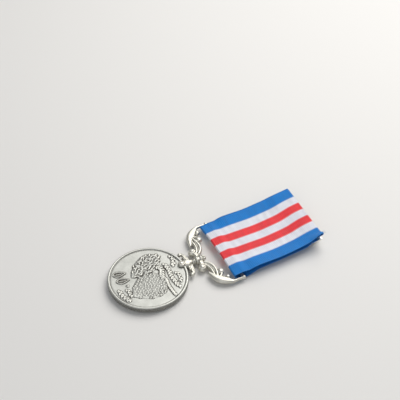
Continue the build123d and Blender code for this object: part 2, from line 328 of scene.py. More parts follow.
class Relief:
    """Height of one struck face, in millimetres above its field, on a fine raster."""

    def __init__(self):
        self.axis = np.arange(-RASTER_REACH, RASTER_REACH, RASTER_STEP)
        self.x, self.y = np.meshgrid(self.axis, self.axis, indexing="ij")
        self.height = np.zeros_like(self.x)
        self.tarnish = np.zeros_like(self.x)

    def along(self, x, y, angle, length, half_width):
        """Place on a stamp: 0 to 1 from its base to its tip, and -1 to 1 across its widest."""
        across_x, across_y = math.cos(angle), math.sin(angle)
        u = ((self.x - x) * across_x + (self.y - y) * across_y) / length
        v = ((self.y - y) * across_x - (self.x - x) * across_y) / half_width
        return u, v

    def raise_to(self, height):
        self.height = np.maximum(self.height, height)

    def boss(self, x, y, angle, length, half_width, height, fullness=0.75):
        """Smooth mound with a round base and a pointed tip. Returns its height."""
        u, v = self.along(x, y, angle, length, half_width)
        outline = np.sin(math.pi * np.clip(u, 0, 1) ** fullness) ** 0.75
        inside = 1 - (v / np.maximum(outline, 1e-3)) ** 2
        mound = height * np.clip(inside, 0, 1) ** 0.35 * (u > 0) * (u < 1)
        self.raise_to(mound)
        return mound

    def leaf(self, x, y, angle, length, half_width, height, lobes=0, base=0.0):
        """Leaf with a sunk midrib and slanting veins, and lobes along its edge where it has any."""
        u, v = self.along(x, y, angle, length, half_width)
        outline = np.sin(math.pi * np.clip(u, 0, 1) ** 0.8) ** 0.8
        if lobes:
            outline = outline * (0.86 + 0.2 * np.cos(2 * math.pi * lobes * u))
        inside = 1 - (v / np.maximum(outline, 1e-3)) ** 2
        midrib = np.exp(-((v * half_width / 0.09) ** 2))
        veins = np.cos(2 * math.pi * (u * length / 0.42 - np.abs(v) * half_width / 0.34))
        blade = np.clip(inside, 0, 1) ** 0.5 * (1 - 0.42 * midrib) + 0.07 * veins
        self.raise_to((base + height * blade) * ((inside > 0) & (u > 0) & (u < 1)))

    def bud(self, x, y, angle, length, half_width, height):
        """Closed bud: a smooth raised outline round a sunk, darkened middle."""
        u, v = self.along(x, y, angle, length, half_width)
        outline = np.sin(math.pi * np.clip(u, 0, 1) ** 0.7)
        inward = (outline - np.abs(v)) * half_width
        lip = np.exp(-(((inward - 0.35) / 0.28) ** 2))
        rib = 0.6 * np.exp(-((v * half_width / 0.16) ** 2)) * (u < 0.7)
        inside = (inward > 0) & (u > 0) & (u < 1)
        self.raise_to(height * np.maximum(lip, rib) * inside)
        self.tarnish += 0.12 * (inside & (inward > 0.6))

    def blossom(self, x, y, radius, height, petals=5, turn=0.0, base=0.0):
        """Round flower with a raised eye."""
        far = np.hypot(self.x - x, self.y - y) / radius
        around = np.arctan2(self.y - y, self.x - x) + turn
        outline = 0.78 + 0.22 * np.cos(petals * around)
        inside = 1 - (far / outline) ** 2
        eye = np.exp(-((far / 0.26) ** 2))
        moat = np.exp(-(((far - 0.42) / 0.14) ** 2))
        flower = np.clip(inside, 0, 1) ** 0.5 * (1 - 0.5 * moat) + 0.35 * eye
        self.raise_to((base + height * flower) * (inside > 0))

    def berry(self, x, y, radius, height):
        """Round bead on the face."""
        far = np.hypot(self.x - x, self.y - y) / radius
        self.raise_to(height * np.sqrt(np.clip(1 - far**2, 0, 1)) * (far < 1))

    def sprig(self, route, leaf_length, leaf_half_width, height, spacing, spread=0.55):
        """Stem along a smooth route, with leaves to both sides in turn and one at its end."""
        path, travelled = curve_through(route, 0.1)
        for x, y in path[::2]:
            self.berry(x, y, 0.17, height * 0.8)
        heading = np.unwrap(np.arctan2(np.gradient(path[:, 1]), np.gradient(path[:, 0])))
        for index, at in enumerate(np.arange(0.1, travelled[-1], spacing)):
            x, y, angle = (np.interp(at, travelled, values) for values in (path[:, 0], path[:, 1], heading))
            side = 1 if index % 2 else -1
            size = 0.85 + 0.3 * rng.random()
            self.leaf(x, y, angle + side * spread, leaf_length * size, leaf_half_width, height)
        self.leaf(*path[-1], heading[-1], leaf_length, leaf_half_width, height)

    def rim(self):
        """Raised rim, with a fine sunk line just inside it."""
        far = np.hypot(self.x, self.y)
        wall = np.clip((far - RIM_INSIDE + 0.15) / 0.3, 0, 1)
        self.height = np.where(far > RIM_INSIDE - 0.5, 0, self.height)
        self.height += FIELD_DEPTH * wall**2 * (3 - 2 * wall)
        self.height -= 0.05 * np.exp(-(((far - RIM_INSIDE + 0.42) / 0.18) ** 2))

    def blurred(self, values, radius):
        """A raster of values, averaged over a soft round patch of this many millimetres."""
        kernel = np.exp(-((self.axis / radius) ** 2))
        kernel = np.fft.fft(np.fft.ifftshift(kernel / kernel.sum()))
        return np.fft.ifft2(np.fft.fft2(values) * kernel[:, None] * kernel[None, :]).real

    def hollows(self):
        """Where dirt stays: 1 in the narrow gaps of the relief, 0 on the open field, -1 on its tops."""
        near = (self.blurred(self.height, 0.42) - self.height) / 0.13
        broad = (self.blurred(self.height, 1.1) - self.height) / 0.26
        stain = self.blurred(self.tarnish, 0.3)
        rubbed = 1 - 0.5 * ease(np.hypot(self.x, self.y), RIM_INSIDE - 1.6, RIM_INSIDE - 0.8)
        return np.clip(rubbed * (0.75 * near + 0.45 * broad) + stain, -1, 1)

    def sample(self, values, x, y):
        """Values of the raster at these places."""
        column = (x + RASTER_REACH) / RASTER_STEP
        row = (y + RASTER_REACH) / RASTER_STEP
        i, j = column.astype(int), row.astype(int)
        s, t = column - i, row - j
        low = values[i, j] * (1 - s) + values[i + 1, j] * s
        high = values[i, j + 1] * (1 - s) + values[i + 1, j + 1] * s
        return low * (1 - t) + high * t


def scattered(x, y, angle, length, half_width, spacing, fullness=0.75):
    """Places spread evenly inside the outline of a boss, a little out of line."""
    cos, sin = math.cos(angle), math.sin(angle)
    for i, along in enumerate(np.arange(0.4 * spacing, length, spacing * 0.87)):
        reach = half_width * math.sin(math.pi * (along / length) ** fullness) ** 0.75 - 0.25 * spacing
        offset = 0.5 * spacing * (i % 2)
        for across in np.arange(-half_width - offset, half_width, spacing):
            if abs(across) < reach:
                u = along + spacing * rng.uniform(-0.28, 0.28)
                v = across + spacing * rng.uniform(-0.28, 0.28)
                yield x + u * cos - v * sin, y + u * sin + v * cos


def obverse_relief():
    """Two leafy bosses under a branch, with sprigs above, and two buds and more sprigs below."""
    r = Relief()
    foliage = dict(x=-10.2, y=9.0, angle=math.radians(-66), length=17.0, half_width=4.9)
    flowers = dict(x=3.2, y=6.4, angle=math.radians(-78), length=17.2, half_width=7.4)
    r.tarnish += 0.22 * (r.boss(height=0.24, **foliage) > 0)
    r.tarnish += 0.12 * (r.boss(height=0.2, **flowers) > 0)
    for x, y in scattered(spacing=1.2, **foliage):
        angle = math.radians(110) + rng.uniform(-0.9, 0.9)
        r.leaf(x, y, angle, 1.6, 0.46, 0.3, lobes=3, base=0.14)
    for x, y in scattered(spacing=1.28, **flowers):
        r.blossom(x, y, rng.uniform(0.5, 0.85), 0.24, petals=5, turn=rng.uniform(0, 6), base=0.12)
    branch = [(-4.4, 6.0), (-1.6, 7.2), (2.4, 5.6)]
    r.sprig(branch, 1.7, 0.55, 0.46, 0.55, spread=0.8)
    r.sprig([(-8.0, 14.2), (-4.8, 14.6), (-2.2, 13.4)], 1.9, 0.62, 0.4, 0.9)
    r.sprig([(-4.8, 9.6), (-0.4, 10.2), (5.0, 9.5), (10.4, 10.2)], 1.7, 0.56, 0.4, 0.78)
    r.sprig([(2.2, 12.2), (4.6, 13.0), (7.8, 12.4)], 1.5, 0.5, 0.36, 0.85)
    r.sprig([(3.2, 6.9), (9.0, 6.3), (14.4, 6.6)], 1.35, 0.46, 0.42, 0.52, spread=0.4)
    for x in (-8.2, -3.9):
        r.bud(x, -13.6, math.radians(78), 6.4, 1.75, 0.42)
    r.blossom(0.4, -10.0, 0.95, 0.36, petals=6)
    r.sprig([(1.7, -11.4), (3.8, -10.9), (6.0, -11.0)], 1.4, 0.5, 0.36, 0.75)
    r.sprig([(0.6, -14.4), (4.2, -14.4), (7.8, -13.0)], 1.7, 0.58, 0.38, 0.8)
    r.rim()
    return r


def reverse_relief():
    """Open wreath round a plain tablet, tied at the bottom."""
    r = Relief()
    for side in (-1, 1):
        for angle in np.arange(-78, 76, 7.0):
            turn = math.radians(angle)
            x, y = side * 12.4 * math.cos(turn), 12.4 * math.sin(turn)
            heading = math.atan2(math.cos(turn), -side * math.sin(turn))
            for lean in (-0.6, 0.0, 0.6):
                r.leaf(x, y, heading + lean, 2.7, 0.62, 0.3)
            r.berry(x * 1.12, y * 1.12, 0.32, 0.26)
    for side in (-1, 1):
        r.leaf(0, -12.2, math.radians(90 + side * 62), 3.4, 0.9, 0.36)
        r.leaf(0, -12.2, math.radians(-90 + side * 28), 3.0, 0.7, 0.3)
    r.berry(0, -12.2, 0.75, 0.42)
    edge = np.maximum(np.abs(r.x) - 6.4, np.abs(r.y) - 2.6)
    r.raise_to(0.22 * np.clip(-edge / 0.35, 0, 1))
    frame_line = np.exp(-(((edge + 0.75) / 0.13) ** 2))
    r.height += 0.12 * frame_line
    r.rim()
    return r


def disc_net(divisions, radius):
    """Square net squeezed into a disc. Returns its points and the walk around its edge."""
    side = np.linspace(-1, 1, divisions + 1)
    a, b = np.meshgrid(side, side, indexing="ij")
    wide = np.abs(a) >= np.abs(b)
    far = np.where(wide, a, b)
    share = np.divide(np.where(wide, b, a), far, out=np.zeros_like(a), where=far != 0)
    angle = np.where(wide, math.pi / 4 * share, math.pi / 2 - math.pi / 4 * share)
    index = np.arange((divisions + 1) ** 2).reshape(divisions + 1, divisions + 1)
    walk = np.concatenate([index[-1, :-1], index[:0:-1, -1], index[0, :0:-1], index[:-1, 0]])
    return radius * far * np.cos(angle), radius * far * np.sin(angle), walk


def rim_profile():
    """Section of the rim's edge from front to back, as radius and height."""
    bend = np.linspace(0, math.pi / 2, 7)
    r = DISC_RADIUS - RIM_ROUNDING + RIM_ROUNDING * np.sin(bend)
    z = DISC_HALF - RIM_ROUNDING + RIM_ROUNDING * np.cos(bend)
    return np.concatenate([r, r[::-1]]), np.concatenate([z, -z[::-1]])


def struck_disc():
    """The disc: two struck faces joined by a rounded rim and a plain edge."""
    front, back = obverse_relief(), reverse_relief()
    points, hollows, faces = [], [], []

    def add_face(relief, divisions, up):
        start = count_points(points)
        x, y, walk = disc_net(divisions, NET_RADIUS)
        x, y = x.ravel(), y.ravel()
        height = relief.sample(relief.height, up * x, y)
        z = MID_Z + up * (DISC_HALF - FIELD_DEPTH + height)
        points.append(np.column_stack([x, y, z]))
        hollows.append(relief.sample(relief.hollows(), up * x, y))
        quads = grid_faces(divisions + 1, divisions + 1, start=start)
        faces.extend(quads if up < 0 else [q[::-1] for q in quads])
        return walk + start

    front_walk = add_face(front, FRONT_DIVISIONS, 1)
    ring_angle = math.pi * np.arange(-0.25, 1.75, 2 / len(front_walk))
    ring_r, ring_z = rim_profile()
    ring_start = count_points(points)
    around = len(front_walk)
    x = ring_r[:, None] * np.cos(ring_angle)
    y = ring_r[:, None] * np.sin(ring_angle)
    z = np.broadcast_to(MID_Z + ring_z[:, None], x.shape)
    points.append(np.stack([x, y, z], -1).reshape(-1, 3))
    # The rounded rim's front and back hold -0.25, rubbed bright as worn metal. The plain side edge holds
    # 0.42, which is painted shade: it darkens the edge as if it lay in shadow, though it is no hollow where
    # patina sits.
    hollows.append(np.repeat(np.where(np.abs(ring_z) > DISC_HALF - 0.3, -0.25, 0.42), around))
    rings = grid_faces(len(ring_r), around, round_columns=True, start=ring_start)
    faces.extend(q[::-1] for q in rings)
    first = ring_start + np.arange(around)
    for i in range(around):
        j = (i + 1) % around
        faces.append([first[i], first[j], front_walk[j], front_walk[i]])

    # The back net is half as fine, so each of its edges meets two of the ring's.
    back_walk = add_face(back, FRONT_DIVISIONS // 2, -1)
    last = ring_start + (len(ring_r) - 1) * around + np.arange(around)
    for i in range(len(back_walk)):
        j = (i + 1) % len(back_walk)
        a, b, c = last[2 * i], last[2 * i + 1], last[(2 * i + 2) % around]
        faces.extend([[a, back_walk[i], b], [b, back_walk[i], back_walk[j]], [b, back_walk[j], c]])

    piece = new_piece("struck_disc", np.vstack(points), faces, "medal", ["medal_disc"])
    add_attribute(piece, "hollow", np.concatenate(hollows))
    piece.data.materials.append(
        antique_silver(
            "struck silver", (202, 203, 198), (186, 187, 182), (64, 57, 49), grain=0.004, roughness=0.55
        )
    )


struck_disc()

# ================================================================ castings
BAR_Y = ((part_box("ribbon_bar")[0].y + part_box("ribbon_bar")[1].y) / 2) / MM - DISC_CENTRE_Y
BAR_RADIUS = (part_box("ribbon_bar")[1].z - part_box("ribbon_bar")[0].z) / 2 / MM
EAR_INSET = 0.6
EAR_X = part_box("ribbon_bar")[1].x / MM - EAR_INSET
PIN_BORE = 0.81
TURNING_BORE = 0.86
RIVET_BORE = 0.505
RIVET_Y = 16.6
CLEARANCE = 0.01


class Casting:
    """Overlapping closed forms that are later fused into one cast metal piece."""

    def __init__(self):
        self.points, self.faces = [], []

    def add(self, points, faces):
        start = count_points(self.points)
        self.points.append(points)
        self.faces.extend([[corner + start for corner in face] for face in faces])

    def add_rings(self, rings):
        """Closed form through rings of points, with a flat face at each end."""
        count, sides = rings.shape[:2]
        faces = grid_faces(count, sides, round_columns=True) + end_caps(count, sides)
        self.add(rings.reshape(-1, 3), faces)

    def limb(self, rows, depth, groove=0.0, z=0.0, crown=1.0, sides=28):
        """Limb along a curve in the medal's plane. Rows are x, y and half width, and it tapers to
        a rounded end both ways. A groove down the middle of both faces leaves two ridges, and a
        crown under 1 gives flatter faces."""
        path, travelled = curve_through(rows, 0.12)
        centre, half_width = path[:, :2], path[:, 2]
        to_end = np.minimum(travelled, travelled[-1] - travelled)
        taper = np.maximum(np.sqrt(1 - (1 - np.clip(to_end / half_width, 0, 1)) ** 2), 0.05)
        sideways = left_of(centre)
        angle = full_turn(sides)
        across = np.cos(angle)
        dip = 1 - groove * np.exp(-((across / 0.36) ** 2))
        flat = centre[:, None, :] + (half_width * taper)[:, None, None] * across[:, None] * sideways[:, None]
        face = np.sign(np.sin(angle)) * np.abs(np.sin(angle)) ** crown
        thickness = depth * taper * (half_width / half_width.max()) ** 0.4
        height = thickness[:, None] * (face * dip) + MID_Z + z
        self.add_rings(np.concatenate([flat, height[..., None]], -1))

    def mirrored_limb(self, rows, depth, **shape):
        """A limb and its mirror image on the other side."""
        for side in (-1, 1):
            self.limb([(side * x, y, w) for x, y, w in rows], depth, **shape)

    def ball(self, x, y, radius, depth, z=0.0, sides=28):
        """Ball, flattened to this half thickness."""
        up = np.linspace(0.02, math.pi - 0.02, sides // 2)
        angle = full_turn(sides)
        rings = np.empty((len(up), sides, 3))
        rings[..., 0] = x + radius * np.sin(up)[:, None] * np.cos(angle)
        rings[..., 1] = y + radius * np.sin(up)[:, None] * np.sin(angle)
        rings[..., 2] = MID_Z + z - (depth * np.cos(up))[:, None]
        self.add_rings(rings)

    def turned(self, profile):
        """Form turned about the swivel's axis. Rows are y and radius."""
        path, _ = curve_through(profile, 0.1)
        angle = full_turn(40)
        rings = np.empty((len(path), len(angle), 3))
        rings[..., 0] = path[:, 1, None] * np.sin(angle)
        rings[..., 1] = path[:, 0, None]
        rings[..., 2] = MID_Z + path[:, 1, None] * np.cos(angle)
        self.add_rings(rings)

    def volute(self, x, y, radius, depth, groove, z=0.0):
        """Rolled end of a scroll: a flattened ball with a spiral groove in both faces."""
        up = np.linspace(0.02, math.pi - 0.02, 30)[:, None]
        angle = full_turn(48)
        share = np.sin(up)
        turn = angle / (2 * math.pi)
        inner_line = 0.28 + 0.36 * turn
        inner = np.exp(-(((share - inner_line) / 0.1) ** 2)) * np.clip(turn * 5, 0, 1)
        outer = np.exp(-(((share - inner_line - 0.36) / 0.1) ** 2))
        rings = np.empty((len(up), len(angle), 3))
        rings[..., 0] = x + math.copysign(1, x) * radius * share * np.cos(angle)
        rings[..., 1] = y + radius * share * np.sin(angle)
        rings[..., 2] = MID_Z + z - depth * np.cos(up) * (1 - groove * np.maximum(inner, outer))
        self.add_rings(rings if x >= 0 else rings[:, ::-1])

    def fused(self, name, body, replaced, grain, cutters=()):
        """Fuses the forms, cuts the bores, and softens the result as casting does."""
        piece = new_piece(name, np.vstack(self.points), self.faces, body, replaced)
        fuse = piece.modifiers.new("fuse", "REMESH")
        fuse.mode = "VOXEL"
        fuse.voxel_size = grain * MM
        soften = piece.modifiers.new("soften", "SMOOTH")
        soften.factor = 0.5
        soften.iterations = 3
        for cutter in cutters:
            cut = piece.modifiers.new("cut", "BOOLEAN")
            cut.operation = "DIFFERENCE"
            cut.solver = "EXACT"
            cut.object = cutter
        apply_modifiers(piece)
        for cutter in cutters:
            bpy.data.objects.remove(cutter)
        store_hollows(piece, 18, 0.07)
        piece.data.materials.clear()
        piece.data.materials.append(CAST_SILVER)


CAST_SILVER = antique_silver(
    "cast silver", (226, 224, 214), (212, 209, 198), (56, 50, 42), grain=0.006, roughness=0.5
)


def cutting_drum(start, end, radius, sides=96):
    """Round cutter from one point to another, in millimetres about the disc's centre."""
    start, end = Vector(to_frame(start)), Vector(to_frame(end))
    angle = full_turn(sides)
    ring = np.column_stack([radius * MM * np.cos(angle), radius * MM * np.sin(angle), np.zeros(sides)])
    length = (end - start).length
    points = np.vstack([ring, ring + (0, 0, length)])
    faces = grid_faces(2, sides, round_columns=True) + end_caps(2, sides)
    mesh = bpy.data.meshes.new("cutter")
    mesh.from_pydata(points.tolist(), [], faces)
    drum = new_object("cutter", mesh)
    drum.rotation_euler = (end - start).to_track_quat("Z", "Y").to_euler()
    drum.location = start
    drum.hide_render = True
    bpy.context.view_layer.update()
    return drum


def suspender():
    """Scrollwork: a boss, and on each side a twin arch, an outer scroll, two curls and a volute."""
    c = Casting()
    outer_scroll = [
        (8.7, 25.5, 0.45), (11.0, 26.4, 1.1), (13.1, 27.4, 1.65), (15.2, 29.0, 1.95), (16.9, 31.0, 1.6),
        (18.35, 33.2, 0.8), (18.4, 35.4, 0.58), (18.45, 37.4, 0.56), (18.35, 39.3, 0.52),
    ]
    c.mirrored_limb(outer_scroll, 1.3, groove=0.1)
    c.mirrored_limb([(11.0, 27.1, 0.75), (12.6, 26.9, 0.65), (14.2, 26.9, 0.4)], 0.95)
    upper_arch = [
        (2.4, 26.0, 0.7), (3.5, 27.4, 0.78), (4.9, 28.5, 0.82), (6.8, 29.2, 0.84), (9.1, 29.2, 0.84),
        (11.2, 28.7, 0.84), (13.4, 28.0, 0.8),
    ]
    c.mirrored_limb(upper_arch, 1.2)
    lower_arch = [
        (2.9, 25.2, 0.6), (4.5, 26.4, 0.66), (6.3, 27.2, 0.7), (8.1, 27.5, 0.7), (10.0, 27.4, 0.7),
        (12.4, 27.2, 0.66),
    ]
    c.mirrored_limb(lower_arch, 1.05)
    web = [(3.4, 26.5, 0.6), (5.5, 27.8, 0.7), (8.2, 28.4, 0.7), (11.6, 28.0, 0.7)]
    c.mirrored_limb(web, 0.7)
    bead_radius, bead_spacing = 0.25, 0.55
    for x, y, _ in curve_through(web, bead_spacing)[0][1:-3]:
        for side in (-1, 1):
            for face in (-1, 1):
                c.ball(side * x, y, bead_radius, bead_radius, z=face * 0.68, sides=12)
    c.mirrored_limb([(14.2, 28.2, 0.8), (13.5, 29.1, 0.75), (12.8, 30.1, 0.7), (11.8, 30.8, 0.7)], 1.05)
    c.mirrored_limb([(17.0, 30.0, 0.7), (16.8, 31.1, 0.66), (16.3, 31.9, 0.56), (15.7, 32.1, 0.5)], 0.95)
    for side in (-1, 1):
        c.volute(side * 10.9, 30.6, 1.75, 1.6, groove=0.1)
        c.volute(side * 15.1, 32.0, 1.3, 1.3, groove=0.08)
        c.volute(side * 5.1, 24.5, 1.95, 1.85, groove=0.16)
        c.limb([(side * 0.8, 25.5, 1.15), (side * 2.6, 25.3, 1.1), (side * 4.6, 24.9, 1.2)], 1.5, groove=0.18)
        c.ball(side * EAR_X, BAR_Y, 1.05, 1.05)
    barrel = [
        (23.55, 0.4), (23.56, 1.5), (23.8, 1.9), (24.3, 2.05), (24.7, 1.75), (25.1, 1.7), (25.5, 1.75),
        (25.9, 2.05), (26.3, 2.1), (26.6, 1.8), (26.68, 1.2), (26.69, 0.4),
    ]
    c.turned(barrel)
    bore = cutting_drum((0, 23.0, MID_Z), (0, 27.2, MID_Z), TURNING_BORE)
    bar_hole = cutting_drum((-21.0, BAR_Y, MID_Z), (21.0, BAR_Y, MID_Z), BAR_RADIUS + CLEARANCE)
    c.fused("suspender_casting", "suspender", ["suspender_scroll"], 0.11, [bore, bar_hole])


def claw():
    """Forked mount: a flared neck, a leaf curling out to each side and a ball foot on the face."""
    c = Casting()
    c.turned([(21.2, 0.5), (21.3, 1.0), (21.9, 1.1), (22.3, 1.35), (22.55, 1.25), (22.6, 0.5)])
    toes = [(0, 22.3, 0.8), (0, 21.2, 1.15), (0, 20.1, 1.8), (0, 18.9, 2.25), (0, 17.6, 1.95), (0, 15.7, 1.5)]
    c.limb(toes, 2.15, crown=0.6)
    c.volute(0, RIVET_Y, 1.75, 1.35, z=DISC_HALF + 0.15, groove=0.16)
    c.limb([(-2.3, 18.9, 0.7), (-1.0, 19.5, 1.0), (1.0, 19.5, 1.0), (2.3, 18.9, 0.7)], 2.1, crown=0.7)
    leaf = [(0.8, 20.8, 0.8), (2.4, 20.4, 0.95), (4.2, 20.1, 0.9), (5.7, 19.8, 0.75), (6.8, 19.2, 0.55)]
    c.mirrored_limb(leaf, 1.0, groove=0.25)
    c.mirrored_limb([(1.0, 19.3, 0.8), (2.9, 19.2, 0.6), (4.4, 18.9, 0.4)], 1.4)
    for side in (-1, 1):
        c.volute(side * 6.5, 18.7, 1.0, 1.0, groove=0.2)
    slot = cutting_drum(
        (0, 0, MID_Z - DISC_HALF - CLEARANCE),
        (0, 0, MID_Z + DISC_HALF + CLEARANCE),
        DISC_RADIUS + CLEARANCE,
        sides=256,
    )
    bore = cutting_drum((0, 20.0, MID_Z), (0, 23.2, MID_Z), PIN_BORE)
    rivet_hole = cutting_drum((0, RIVET_Y, -0.5), (0, RIVET_Y, MID_Z), RIVET_BORE)
    c.fused("claw_casting", "medal", ["claw"], 0.085, [slot, bore, rivet_hole])


def rosette():
    """Small flower that caps the swivel: a ring of petals round a raised eye."""
    c = Casting()
    c.turned([(26.82, 0.4), (26.83, 1.15), (27.1, 1.3), (27.7, 1.15), (28.2, 0.9), (28.6, 0.6), (28.7, 0.2)])
    for turn in full_turn(8):
        x, z = 1.12 * math.sin(turn), 1.12 * math.cos(turn)
        c.ball(x, 27.55, 0.5, 0.5, z=z, sides=20)
        c.ball(0.62 * x, 28.25, 0.36, 0.36, z=0.62 * z, sides=16)
    c.ball(0, 28.6, 0.42, 0.42, sides=20)
    bore = cutting_drum((0, 26.0, MID_Z), (0, 27.9, MID_Z), PIN_BORE)
    c.fused("rosette_flower", "medal", ["rosette_finial"], 0.07, [bore])


def collar():
    """Rounded spacing ring between the claw and the suspender."""
    c = Casting()
    lower_half = [(22.66, 0.5), (22.67, 1.2), (22.8, 1.42), (23.02, 1.5)]
    upper_half = [(23.25, 1.42), (23.38, 1.2), (23.39, 0.5)]
    c.turned(lower_half + upper_half)
    bore = cutting_drum((0, 22.0, MID_Z), (0, 24.0, MID_Z), TURNING_BORE)
    c.fused("collar_ring", "medal", ["swivel_collar"], 0.07, [bore])


suspender()
claw()
rosette()
collar()

# ================================================================ ribbon
RIBBON_WIDTH = (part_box("ribbon")[1].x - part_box("ribbon")[0].x) / MM
RIBBON_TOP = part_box("ribbon")[1].y / MM - DISC_CENTRE_Y
RIBBON_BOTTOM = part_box("ribbon")[0].y / MM - DISC_CENTRE_Y
CLOTH_THICKNESS = 0.42
CLOTH_TO_PLATE = 0.015
HEM_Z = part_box("brooch_plate")[1].z / MM + CLOTH_THICKNESS / 2 + CLOTH_TO_PLATE
TOP_FOLD_GAP = 1.3
FACE_Z = HEM_Z + TOP_FOLD_GAP
RIB_PITCH = 0.85
BLUE_STRIPE = 6.25
INNER_STRIPE = 4.5
WIDTH_STEPS = 56
SERRATION = 0.17
RIB_HEIGHT = 0.035

# How the cloth lies, in millimetres away from a straight, flat fold.
FRONT_EDGE_CURL = 1.35
BACK_EDGE_CURL = 0.8
SIDE_TILT = 0.25
TOP_SHIFT = 0.8
TOP_EXTRA = 0.35
TOP_SKEW_PER_MM = 0.05
CORNER_LIFT = 2.6
CORNER_PULL = 0.5
FOLD_SKEW = 0.7
FOLD_SINK = 1.15


def rounded_route(corners, radii, spacing):
    """Points along straight runs joined by arcs. Each corner but the first and last has a radius."""
    corners = [np.array(c, float) for c in corners]
    dense = [corners[0]]
    for before, corner, after, radius in zip(corners, corners[1:], corners[2:], radii):
        arriving = (corner - before) / np.linalg.norm(corner - before)
        leaving = (after - corner) / np.linalg.norm(after - corner)
        turn = math.atan2(arriving[0] * leaving[1] - arriving[1] * leaving[0], arriving @ leaving)
        start = corner - arriving * radius * math.tan(abs(turn) / 2)
        to_centre = np.array([-arriving[1], arriving[0]]) * math.copysign(radius, turn)
        for share in np.linspace(0, 1, max(4, round(abs(turn) * radius / 0.05))):
            cos, sin = math.cos(turn * share), math.sin(turn * share)
            spoke = -to_centre
            turned = (cos * spoke[0] - sin * spoke[1], sin * spoke[0] + cos * spoke[1])
            dense.append(start + to_centre + turned)
    dense = np.array(dense + [corners[-1]])
    travelled = distance_along(dense)
    return respaced(dense, travelled, round(travelled[-1] / spacing) + 1)


def ribbon_route():
    """The strip's middle line, as y and z: hem, top fold, face, loop round the bar, and back."""
    top = RIBBON_TOP - CLOTH_THICKNESS / 2
    bottom = RIBBON_BOTTOM + CLOTH_THICKNESS / 2
    front_z, back_z = MID_Z + 2.15, MID_Z - 1.5
    hem = [(78.9, HEM_Z), (top, HEM_Z)]
    face = [(top, FACE_Z), (76.6, 5.7), (70.0, 3.75), (58.0, 3.2), (42.2, 3.8), (39.4, 4.8)]
    crease = [(bottom, front_z), (bottom, front_z - 0.85), (37.5, back_z)]
    back = [(41.5, back_z), (47.0, 1.9), (58.0, 2.3), (71.8, 2.5), (75.5, HEM_Z), (78.4, HEM_Z)]
    radii = [0.6, 0.6, 14.0, 18.0, 60.0, 5.0, 3.5, 0.38, 0.38, 1.5, 5.0, 8.0, 60.0, 6.0, 2.5]
    return rounded_route(hem + face + crease + back, radii, RIB_PITCH / 5)


def ribbon_cloth():
    """Grosgrain ribbon: fine ribs across it and coloured stripes along it."""
    s = Shader("ribbon cloth")
    across = s.attribute("across")
    along = s.attribute("along")
    waver = s.spread(s.noise(1.2, 2.0), 0.2, 0.8, -0.05, 0.05)
    rib = s.math("SINE", s.math("MULTIPLY", along, 2 * math.pi / RIB_PITCH))
    centred = s.math("ADD", across, s.math("ADD", waver, s.math("MULTIPLY", rib, SERRATION)))
    from_edge = s.math("SUBTRACT", RIBBON_WIDTH / 2, s.math("ABSOLUTE", centred))
    blue, white, red = colour(12, 132, 218), colour(246, 247, 255), colour(255, 66, 72)
    stripes = blue
    edges = [BLUE_STRIPE + INNER_STRIPE * n for n in range(3)]
    for edge, tint in zip(edges, (white, red, white)):
        stripes = s.mix(s.spread(from_edge, edge - 0.07, edge + 0.07), stripes, tint)
    warp = s.math("SINE", s.math("MULTIPLY", across, 2 * math.pi / 0.3))
    thread = s.math("ADD", s.math("MULTIPLY", rib, 0.6), s.math("MULTIPLY", warp, 0.4))
    watered = s.noise(4.0, 4.0, stretch=(0.5, 2.0, 1.0))
    shade = s.mix(s.spread(watered, 0.35, 0.65), (0.86, 0.86, 0.87, 1), (1, 1, 1, 1))
    worn = s.mix(1.0, stripes, shade, "MULTIPLY")
    # Painted shade: the valleys between the ribs and the warp threads are darkened, as if shade lay in them;
    # the bumps below shape the same ribs.
    painted_rib_shade = s.mix(s.spread(thread, -1.0, 0.2), (0.62, 0.62, 0.66, 1), (1, 1, 1, 1))
    s.set(Base_Color=s.mix(0.55, worn, s.mix(1.0, worn, painted_rib_shade, "MULTIPLY")))
    s.set(Roughness=s.spread(watered, 0.3, 0.7, 0.5, 0.66))
    s.set(Sheen_Weight=0.18, Sheen_Roughness=0.35, Specular_IOR_Level=0.35)
    s.set(Normal=s.bump(warp, 0.03, after=s.bump(s.noise(0.15, 2.0), 0.02)))
    return s.material


def ribbon():
    """The strip itself, as a thin closed band with ribs raised on both of its faces."""
    route, along = ribbon_route()
    outward = left_of(route)
    across = np.linspace(-0.5, 0.5, WIDTH_STEPS + 1) * RIBBON_WIDTH
    edge_thinning = 1 - 0.35 * np.exp(-((RIBBON_WIDTH / 2 - np.abs(across)) / 0.35))
    rib = RIB_HEIGHT * np.sin(2 * math.pi * along / RIB_PITCH)
    end_fade = np.clip(np.minimum(along, along[-1] - along) / 0.6, 0, 1)
    half = CLOTH_THICKNESS / 2 * edge_thinning[None, :] + (rib * end_fade)[:, None]
    shells = []
    for side in (1, -1):
        y = route[:, 0, None] + side * half * outward[:, 0, None]
        z = route[:, 1, None] + side * half * outward[:, 1, None]
        x = np.broadcast_to(across, y.shape)
        shells.append(np.stack([x, y, z], -1).reshape(-1, 3))
    rows, columns = len(route), len(across)
    other = rows * columns
    faces = [q[::-1] for q in grid_faces(rows, columns)] + grid_faces(rows, columns, start=other)
    rim = [r * columns for r in range(rows)] + [(rows - 1) * columns + c for c in range(1, columns)]
    rim += [r * columns + columns - 1 for r in range(rows - 2, -1, -1)] + list(range(columns - 2, 0, -1))
    for here, there in zip(rim, rim[1:] + rim[:1]):
        faces.append([here, there, there + other, here + other])
    points = np.vstack(shells)
    drape(points, np.tile(np.repeat(along, columns), 2))
    piece = new_piece("ribbon_strip", points, faces, "ribbon", ["ribbon"], ribbon_cloth())
    add_attribute(piece, "across", np.tile(np.tile(across, rows), 2))
    add_attribute(piece, "along", np.tile(np.repeat(along, columns), 2))


